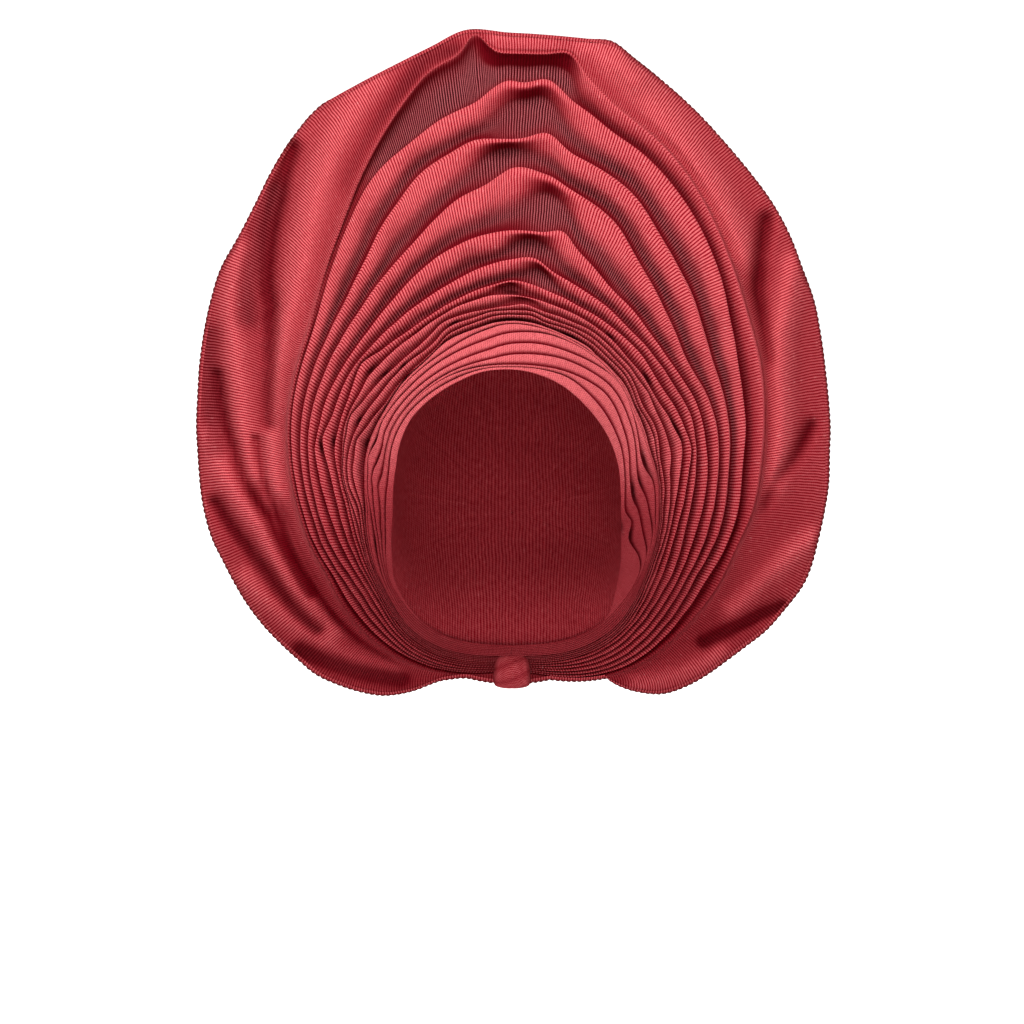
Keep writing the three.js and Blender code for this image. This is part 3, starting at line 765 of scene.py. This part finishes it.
def acrossFold(angles, edges, inner, outer, shares, seed):
    # rows across one fold; the profiles are blended by their shares at every angle
    width = edges[outer] - edges[inner]
    deep = foldDepth(width) * (1 + ripple(angles, seed, foldValues["unevenDepth"]))
    reach = np.minimum(foldValues["overhang"] * width, foldValues["mostOverhang"])
    meshy = ramp(width, foldValues["meshFrom"], foldValues["meshTo"])
    still = foldValues["bandStep"] if inner == "bandTop" else 0.0
    start = reach + foldValues["underBand" if inner == "bandTop" else "underCrest"]
    run = runAlong(angles, edges[outer], edges) * foldValues["ribStretch"]
    lean = ribLean(outer, angles)
    # painted shade at the sides
    side = 1 - foldValues["sideShade"] * ramp(abs(angles - 90), foldValues["dimFrom"], foldValues["dimTo"])
    blended = [(-start / width, foldValues["startDepth"], 0.0, 0.0)]
    for k in range(len(foldProfiles["gentle"])):
        mixed = sum(share[:, None] * np.array(foldProfiles[name][k]) for name, share in shares.items())
        blended.append(mixed.T)
    rows = []
    for out, drop, tone, mesh in blended:
        beyond = out * width
        radius = edges[inner] + beyond
        depth = leanDepth(angles, radius, edges) + drop * deep + still * np.clip(drop, 0, 1)
        pocket = pocketBeyond(inner, angles, beyond)
        rows.append(sheetRow(radius, depth, tone * side, mesh * meshy, pocket, run + lean * beyond))
    return rows


def gridFromRows(name, angles, rows, steps):
    # refines the rows and makes them one sheet
    fine = refine(np.stack(rows, 0), steps)
    radius, depth, tone, mesh, pocket, run = fine.transpose(1, 0, 2)
    points = place(angles[None, :], radius, depth)
    uv = np.stack([run * milli, lengthAlong(points, 0)], -1)
    return gridPiece(name, points, uv, tone=tone, mesh=mesh, pocket=pocket)


def foldPiece(name, crests, columns, steps):
    # folds from the first crest to the last, as one sheet that ends behind the last crest
    angles = np.linspace(layout["napeRight"], layout["napeLeft"], columns)
    edges = edgesAt(angles)
    calm = window(angles, *foldValues["calm"])
    rows = []
    for inner, outer in zip(crests[:-1], crests[1:]):
        seed = int(outer[5:])
        arch = np.zeros_like(angles)
        for fold, middle, halfWidth in archReadings:
            if fold == outer:
                arch = np.maximum(arch, bell(angles - middle, halfWidth))
        arch = np.clip(arch + calm * ripple(angles, seed + 30, foldValues["unevenArch"]), 0, 1)
        edges[outer] = edges[outer] + calm * ripple(angles, seed, foldValues["uneven"])
        rows += acrossFold(angles, edges, inner, outer, {"gentle": 1 - arch, "tent": arch}, seed + 60)
    last = edges[crests[-1]]
    beyond = list(foldReadings)[list(foldReadings).index(crests[-1]) + 1]
    reach = np.minimum(foldValues["overhang"] * (last - edges[crests[-2]]), foldValues["mostOverhang"])
    deep = foldDepth(edges[beyond] - last)
    lean = leanDepth(angles, last, edges)
    run = rows[-1][5]
    for share, behind, tone in foldValues["closing"]:
        rows.append(sheetRow(last - share * reach, lean + behind * deep, tone, 0.0, 0.0, run))
    return gridFromRows(name, angles, rows, steps)


# Outer panel, and the hem that ends it at the rim.
panelValues = {
    "columns": 720,
    "steps": 3,
    "wall": 0.7,
    "flap": (80.5, 83, 93.2, 95.2),  # angles between which a flap comes over the valley inside, and goes
    "valley": (90, 94, 117, 141),    # and between which that valley opens and closes
    "dip": 0.22,         # the panel dips behind its inner edge by this share of its width
    "mostDip": 9.0,      # but no more than this
    "free": (0.02, 0.25),   # waves start between these shares of the width
    "freeWidth": (5, 16),   # and grow with the panel's width between these
    "lineSteps": 12,     # places on a wave's line between two readings
    # painted light on the waves: lighter where one stands out, darker in its hollows, for each millimetre
    "tonePerHeight": 0.09,
    "lowShade": 0.30,         # the lower part of the panel gets this much painted shade
    "dimFrom": 80.0,     # between these angles from the top
    "dimTo": 130.0,
    "ribStretch": 0.92,  # ribs stand this much wider apart at the rim
}
panelRows = [
    # share of the way to the rim, share of the dip behind the edge, painted light
    (0.02, 0.18, 0.84), (0.06, 0.42, 0.66), (0.13, 0.55, 0.56), (0.24, 0.50, 0.54), (0.38, 0.42, 0.52),
    (0.54, 0.30, 0.52), (0.70, 0.20, 0.56), (0.84, 0.10, 0.60), (0.95, 0.03, 0.64), (1.00, 0.00, 0.64),
]
hemValues = {
    "columns": 1600,
    "width": 2.2,
    "bumpPitch": 3.9,    # millimetres between the small bumps of the rim
    "bumpSize": 0.75,
    "bumpPower": 0.7,
    "smooth": (77, 81, 113, 115),  # angles between which the rim becomes smooth, and bumpy again
    "raise": 0.35,       # the hem stands this far out of the panel
    # painted light: the hem is painted a little short of fully lit
    "tone": 0.7,
    "tipDark": 0.15,     # how dark its tip is, and how much more so on a bump
    "bumpDark": 0.75,
}
hemRows = [
    # share of the hem's width, share of a bump's size outwards and millimetres that a bump raises it,
    # and share of the tip's darkness
    (0.0, 0.0, 0.0, 0.0), (0.4, 0.0, 0.1, 0.1), (0.7, 0.3, 0.4, 0.75),
    (1.0, 1.0, 0.6, 1.0), (1.0, 1.1, 0.0, 1.0), (0.8, 0.6, -0.6, 1.0),
]


def distanceToLine(x, z, line):
    # distance in the picture plane from each point to a curve through (angle, distance) readings
    angles = np.array([a for a, _ in line], float)
    radii = np.array([r for _, r in line], float)
    t = np.linspace(0, len(line) - 1, panelValues["lineSteps"] * (len(line) - 1) + 1)
    lineAngles = np.radians(np.interp(t, np.arange(len(line)), angles))
    lineRadii = np.interp(t, np.arange(len(line)), radii)
    nearest = np.full(x.shape, np.inf)
    for px, pz in zip(lineRadii * np.cos(lineAngles), lineRadii * np.sin(lineAngles)):
        nearest = np.minimum(nearest, (x - px) ** 2 + (z - pz) ** 2)
    return np.sqrt(nearest)


def panelHeight(angles, radius, edges):
    # how far the soft waves stand out of the panel, towards the front, and how open its mesh shows
    turn = np.radians(angles)
    x, z = radius * np.cos(turn), radius * np.sin(turn)
    span = edges["rim"] - edges["panelEdge"]
    share = (radius - edges["panelEdge"]) / span
    free = ramp(share, *panelValues["free"]) * ramp(span, *panelValues["freeWidth"])
    height, mesh = np.zeros_like(radius), np.zeros_like(radius)
    for wave in panelWaves.values():
        strength = bell(distanceToLine(x, z, wave["line"]), wave["width"])
        height = height + wave["height"] * strength
        mesh = mesh + wave.get("mesh", 0.0) * strength
    return height * free, mesh * free


def panelPiece():
    # a valley or flap inside the panel's edge, then the panel itself with its waves
    angles = np.linspace(layout["napeRight"], layout["napeLeft"], panelValues["columns"])
    edges = edgesAt(angles)
    flap = window(angles, *panelValues["flap"])
    valley = (1 - flap) * window(angles, *panelValues["valley"])
    shares = {"overhang": flap, "valley": valley, "soft": 1 - flap - valley}
    rows = acrossFold(angles, edges, "crest11", "panelEdge", shares, 90)
    span = edges["rim"] - edges["panelEdge"]
    dip = np.minimum(panelValues["mostDip"], panelValues["dip"] * span)
    run = runAlong(angles, edges["rim"], edges) * panelValues["ribStretch"]
    turn = edgeTurn("rim", angles)
    for share, drop, tone in panelRows:
        radius = edges["panelEdge"] + share * span
        depth = leanDepth(angles, radius, edges) + drop * dip
        along = run - turn * span * (1 - share * share) / 2
        rows.append(sheetRow(radius, depth, tone, 0.0, 0.0, along))
    fine = refine(np.stack(rows, 0), panelValues["steps"])
    radius, depth, tone, mesh, pocket, run = fine.transpose(1, 0, 2)
    height, opened = panelHeight(angles[None, :], radius, edges)
    low = ramp(abs(angles - 90), panelValues["dimFrom"], panelValues["dimTo"])
    # painted light on the waves, and painted shade on the lower part
    tone = tone + panelValues["tonePerHeight"] * height - panelValues["lowShade"] * low
    points = place(angles[None, :], radius, depth - height)
    uv = np.stack([run * milli, lengthAlong(points, 0)], -1)
    return gridPiece("fan_panel", points, uv, tone=tone, mesh=mesh + opened, pocket=pocket)


def hemPiece():
    # the last millimetres of the panel: its edge swells at every rib end, and its tip is darker, most on
    # the bumps
    angles = np.linspace(layout["napeRight"], layout["napeLeft"], hemValues["columns"])
    edges = edgesAt(angles)
    run = runAlong(angles, edges["rim"], edges)
    turn = edgeTurn("rim", angles)
    bumps = np.abs(np.sin(math.pi * run / hemValues["bumpPitch"])) ** hemValues["bumpPower"]
    swell = (1 - window(angles, *hemValues["smooth"])) * bumps
    dark = hemValues["tipDark"] + hemValues["bumpDark"] * swell
    rows = []
    for share, out, raised, tip in hemRows:
        radius = edges["rim"] - hemValues["width"] * (1 - share) + out * hemValues["bumpSize"] * swell
        height = panelHeight(angles, radius, edges)[0] + hemValues["raise"] + raised * swell
        depth = leanDepth(angles, radius, edges) - height
        along = run * panelValues["ribStretch"] + turn * (radius - edges["rim"])
        rows.append(sheetRow(radius, depth, hemValues["tone"], 0.0, tip * dark, along))
    return gridFromRows("fan_hem", angles, rows, 1)


# The band: pressed pleats, each tucked under the one before it.
bandValues = {
    "columns": 480,
    "steps": 2,
    "leastStep": 0.4,    # how far the narrowest pleats lean back to their inner edges
    "step": 2.4,         # and how much more the widest do
    "stepWidth": (0.5, 3.0),  # which grows between these widths
    "tuck": 1.0,         # how far a pleat runs in under the one before it
    "tuckBefore": 0.3,   # but no more than these shares of that one's width and its own
    "tuckOwn": 0.45,
    "firstWidth": 3.0,   # stands for the width before the first pleat
    "wall": 0.5,
    "sideShade": 0.66,     # pleats get this much painted shade at the sides
    "dimFrom": 50.0,     # between these angles from the top
    "dimTo": 95.0,
    # the first pleat goes on round the crown's edge: out and back
    "turnUnder": [(3.4, 8.0), (1.7, 4.6)],
}
stripNames = ["faceEdge", "strip1", "strip2", "strip3", "strip4", "strip5", "strip6", "bandTop"]
# share of the width out (of the tuck where below nought), share of the step back, painted light, which
# falls to painted shade where a pleat tucks under and turns back
firstRows = [(0.5, 1.35, 0.0), (0.15, 1.1, 0.1), (0.0, 0.75, 0.3), (0.06, 0.42, 0.8), (0.3, 0.2, 0.95)]
pleatRows = [(-2.6, 2.2, 0.0), (-1.0, 1.4, 0.0), (-0.3, 1.1, 0.0),
             (0.09, 0.90, 0.0), (0.22, 0.68, 0.5), (0.38, 0.42, 0.95)]
edgeRows = [(0.6, 0.2, 1.0), (0.85, 0.03, 1.0), (0.97, 0.0, 1.0), (1.0, 0.16, 0.7), (0.97, 0.42, 0.2)]


def stripPiece(order):
    # one pleat: in from behind the pleat before, out over a soft crown, and back under its edge
    angles = np.linspace(layout["napeRight"], layout["napeLeft"], bandValues["columns"])
    edges = edgesAt(angles)
    inner, outer = edges[stripNames[order - 1]], edges[stripNames[order]]
    width = outer - inner
    before = inner - edges[stripNames[order - 2]] if order > 1 else bandValues["firstWidth"] + 0 * inner
    room = np.minimum(bandValues["tuckBefore"] * before, bandValues["tuckOwn"] * width)
    tuck = np.minimum(bandValues["tuck"], room)
    step = bandValues["step"] * ramp(width, *bandValues["stepWidth"]) + bandValues["leastStep"]
    run = runAlong(angles, outer, edges)
    # painted shade at the sides
    side = 1 - bandValues["sideShade"] * ramp(abs(angles - 90), bandValues["dimFrom"], bandValues["dimTo"])
    rows = []
    for beyond, behind in (bandValues["turnUnder"] if order == 1 else []):
        depth = leanDepth(angles, inner + beyond, edges) + behind
        # painted shade where the first pleat goes round the crown's edge
        rows.append(sheetRow(inner + beyond, depth, 0.0, 0.0, 0.0, run))
    for out, back, tone in (firstRows if order == 1 else pleatRows) + edgeRows:
        beyond = out * width if out >= 0 else out * tuck
        depth = leanDepth(angles, inner + beyond, edges) + back * step
        pocket = pocketBeyond(stripNames[order - 1], angles, beyond)
        rows.append(sheetRow(inner + beyond, depth, tone * side, 0.0, pocket, run))
    return gridFromRows(f"band_pleat_{order}", angles, rows, bandValues["steps"])


# The crown: cloth over the top and the back, seen from inside through the opening in front.
crownValues = {
    "halfWidth": 74.0,
    "rise": 114.0,
    "drop": 88.0,
    "halfDepth": 97.0,
    "middle": 4.0,
    "squareness": 2.2,
    "fullness": 2.3,
    "columns": 320,
    "rows": 56,
    "inset": 2.0,
    "flare": 4,
    "wall": 1.2,
    "seat": 2.2,        # the edge starts this far behind the band's leaning plane
    "wrinkle": 0.35,
    "wrinkleRates": {"waves": 12, "slowest": 0.3, "fastest": 1.6},
    "gather": 0.55,     # share of the way from the pole at the back that wrinkles reach
    "tighten": 0.5,     # the cloth lies this far inside the outline
    "poleRadius": 25.0,   # and less than that so near the pole
    "leastRadius": 0.05,
    "back": 0.6,        # all of it is set back by this
    # painted light: the crown is painted about half in shade
    "tone": 0.45,
    "wrinkleShade": 0.2,  # painted shade: wrinkles are this much darker where they draw the cloth in, and lighter where they let it out
    "ribPole": -85.0,   # ribs stand in planes that meet at this depth
    "ribReach": 120.0,
}


def crownRadius(angles, depth):
    # superellipse in the picture plane, shrinking to a point at the back along another one
    turn = np.radians(angles)
    rise = np.where(np.sin(turn) > 0, crownValues["rise"], crownValues["drop"])
    power = crownValues["squareness"]
    across = (abs(np.cos(turn)) / crownValues["halfWidth"]) ** power + (abs(np.sin(turn)) / rise) ** power
    along = np.minimum(1, abs(depth - crownValues["middle"]) / crownValues["halfDepth"])
    return across ** (-1 / power) * (1 - along ** crownValues["fullness"]) ** (1 / crownValues["fullness"])


def crownPiece():
    # rings from the opening's edge back to a pole, flared at the front to meet the band
    angles = np.linspace(-90, 270, crownValues["columns"], endpoint=False)
    edges = edgesAt(angles)
    edgeRadius = edges["faceEdge"] + crownValues["inset"]
    edgeDepth = leanDepth(angles, edgeRadius + crownValues["inset"], edges) + crownValues["seat"]
    back = crownValues["middle"] + crownValues["halfDepth"]
    spread = edgeRadius - crownRadius(angles, edgeDepth)
    t = np.sin(np.linspace(0, 1, crownValues["rows"]) * 0.5 * math.pi)[:, None]
    depth = edgeDepth + (back - edgeDepth) * t
    radius = crownRadius(angles[None, :], depth) + spread * (1 - t) ** crownValues["flare"]
    gather = bell(1 - t, crownValues["gather"]) * t ** 0.5
    wrinkle = ripple(angles, 5, crownValues["wrinkle"], **crownValues["wrinkleRates"])[None, :] * gather
    inside = crownValues["tighten"] * (1 + wrinkle) * np.minimum(1, radius / crownValues["poleRadius"])
    radius = np.maximum(radius - inside, crownValues["leastRadius"])
    points = place(angles[None, :], radius, depth + crownValues["back"])
    fromPole = points[..., 1] - crownValues["ribPole"] * milli
    u = crownValues["ribReach"] * milli * np.arctan2(points[..., 0], fromPole)
    uv = np.stack([u, points[..., 2]], -1)
    tone = crownValues["tone"] - crownValues["wrinkleShade"] * wrinkle
    return gridPiece("crown_cloth", points, uv, closed=True, tone=tone, mesh=0.0, pocket=0.0)


# The knot, low at the back.
knotValues = {
    "rows": 61,
    "columns": 120,
    "halfHeight": 11.6,
    "halfDepth": 12.6,
    "radius": 100.2,
    "depth": 93.0,
    "halfAngle": 6.6,
    "pinch": 0.16,       # it is this much thinner at its ends
    "squareEnds": 14,    # the higher, the squarer its ends
    "turns": 3,          # half as many as its creases
    "twist": 1.5,        # radians that they wind between the middle and an end
    "crease": 0.05,
    "creasePower": 0.6,
    "slack": 0.95,       # size at the bottom of a crease
    "fullness": 0.98,
    # painted light: the knot is painted mostly in shade, lighter on the swells between its creases
    "tone": 0.3,
    "creaseShading": 8,
}


def knotPiece():
    # a short fat tube along the lower edge, closed at both ends, with creases that wind round it
    along = np.linspace(-1, 1, knotValues["rows"])
    around = np.linspace(0, 2 * math.pi, knotValues["columns"] + 1)[:-1]
    angles = (-90 + along * knotValues["halfAngle"])[:, None]
    swell = (1 - knotValues["pinch"] * along ** 2)[:, None]
    cover = np.sqrt(np.clip(1 - np.abs(along) ** knotValues["squareEnds"], 0, 1))[:, None]
    winding = np.abs(np.sin(around * knotValues["turns"] + along[:, None] * knotValues["twist"]))
    crease = knotValues["crease"] * winding ** knotValues["creasePower"]
    size = swell * cover * (knotValues["slack"] + crease) * knotValues["fullness"]
    radius = knotValues["radius"] + size * knotValues["halfHeight"] * np.cos(around)[None, :]
    depth = knotValues["depth"] + size * knotValues["halfDepth"] * np.sin(around)[None, :]
    points = place(angles, radius, depth)
    uv = np.stack([lengthAlong(points, 1), lengthAlong(points, 0)], -1)
    # painted light on the swells between creases, painted shade in them
    tone = knotValues["tone"] + knotValues["creaseShading"] * crease
    return gridPiece("nape_knot_cloth", points, uv, closed=True, tone=tone, mesh=0.0, pocket=0.0)


# Studio.
studioValues = {
    "floor": -0.42,
    "wall": 1.6,
    "halfWidth": 3.2,
    "near": -2.6,
    "bend": 0.5,
    "height": 2.4,
    "paper": (0.90, 0.90, 0.90, 1),
    "paperLight": (0.94, 0.94, 0.94, 1),
    "paperRoughness": 0.9,
    "paperGlow": 0.75,
    "skyLight": 0.11,
    "skySeen": 0.95,     # the air behind the object looks pale from every side
}


def makeStudio():
    # floor, quarter-round bend and wall, carried sideways; the paper glows for the camera's own rays only
    arc = np.linspace(0, math.pi / 2, 16)
    wall, floor, bend = studioValues["wall"], studioValues["floor"], studioValues["bend"]
    y = np.concatenate([[studioValues["near"]], wall - bend + bend * np.sin(arc), [wall]])
    z = np.concatenate([[floor], floor + bend - bend * np.cos(arc), [studioValues["height"]]])
    x = np.linspace(-studioValues["halfWidth"], studioValues["halfWidth"], 5)
    points = np.stack(np.broadcast_arrays(x[None, :], y[:, None], z[:, None]), -1)
    uv = points[..., :2]
    sweep = gridPiece("studio_floor", points, uv)
    paper = Shader("studio_paper")
    position = paper.out(paper.node("ShaderNodeTexCoord"), "Object")
    grain = paper.noise(position, 4.0)
    colour = paper.mix(grain, studioValues["paper"], studioValues["paperLight"])
    paper.put(paper.surface.inputs["Base Color"], colour)
    paper.surface.inputs["Roughness"].default_value = studioValues["paperRoughness"]
    seen = paper.out(paper.node("ShaderNodeLightPath"), "Is Camera Ray")
    paper.put(paper.surface.inputs["Emission Color"], paper.mix(seen, (0, 0, 0, 1), (1, 1, 1, 1)))
    paper.surface.inputs["Emission Strength"].default_value = studioValues["paperGlow"]
    sweep.data.materials.append(paper.material)


# Metres and watts.
lights = {
    "key": {"place": (-0.12, -0.8, 0.85), "size": 0.7, "power": 13.5},
    "brow": {"place": (0.0, -0.75, 0.12), "size": 0.25, "power": 0.85},
    "front": {"place": (0.1, -2.0, 0.25), "size": 1.4, "power": 3.6},
    "left": {"place": (-1.5, -0.75, 0.35), "size": 1.0, "power": 2.4},
    "right": {"place": (1.5, -0.75, 0.35), "size": 1.0, "power": 1.7},
    "back": {"place": (0.0, 1.2, 0.7), "size": 1.4, "power": 15},
}


def makeLights():
    # area lights that all face the origin, and a sky that is dim to everything but the camera
    for name, light in lights.items():
        data = bpy.data.lights.new(name, "AREA")
        data.energy = light["power"]
        data.size = light["size"]
        lamp = bpy.data.objects.new(name, data)
        spot = np.array(light["place"])
        aim = np.zeros(3) - spot
        lamp.location = spot
        flat = math.hypot(aim[0], aim[1])
        lamp.rotation_euler = (math.atan2(flat, -aim[2]), 0, math.atan2(-aim[0], aim[1]))
        bpy.context.scene.collection.objects.link(lamp)
    world = bpy.data.worlds.new("studio_world")
    world.use_nodes = True
    sky = world.node_tree.nodes["Background"]
    ray = world.node_tree.nodes.new("ShaderNodeLightPath")
    blend = world.node_tree.nodes.new("ShaderNodeMix")
    blend.data_type = "RGBA"
    blend.inputs[6].default_value = (studioValues["skyLight"],) * 3 + (1,)
    blend.inputs[7].default_value = (studioValues["skySeen"],) * 3 + (1,)
    world.node_tree.links.new(ray.outputs["Is Camera Ray"], blend.inputs[0])
    world.node_tree.links.new(blend.outputs[2], sky.inputs["Color"])
    bpy.context.scene.world = world
    bpy.context.scene.view_settings.view_transform = "Standard"


def settle(piece, cloth, node):
    # gives a finished piece its material and body, and hides the part that it stands for
    piece.data.materials.append(cloth)
    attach(piece, "root")
    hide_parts(node)


def sheetArea(piece):
    # area of a piece's faces, in square metres
    areas = np.zeros(len(piece.data.polygons))
    piece.data.polygons.foreach_get("area", areas)
    return float(areas.sum())


def dress(piece, cloth, node):
    # settles a sheet and says its cut size, whose width is its area over its length
    settle(piece, cloth, node)
    area = sheetArea(piece)


makeCamera()
makeStudio()
makeLights()
print("studio ready")

cloths = {name: clothMaterial(name, **weave) for name, weave in weaves.items()}
print("cloth ready")

for name, folds in foldSets.items():
    weave = "inner_fold_weave" if name == "fan_inner_folds" else "fan_weave"
    dress(foldPiece(name, **folds), cloths[weave], "pleat_fan")
panel = thicken(panelPiece(), panelValues["wall"])
dress(panel, cloths["fan_weave"], "pleat_fan")
dress(hemPiece(), cloths["fan_weave"], "pleat_fan")
print("fan ready")

for order in range(1, len(stripNames)):
    strip = thicken(stripPiece(order), bandValues["wall"])
    node = f"forehead_pleat_{order}"
    dress(strip, cloths["band_weave"], node)
print("band ready")

crown = thicken(crownPiece(), crownValues["wall"])
dress(crown, cloths["crown_weave"], "crown_cap")
settle(knotPiece(), cloths["crown_weave"], "nape_knot")
print("crown and knot ready")
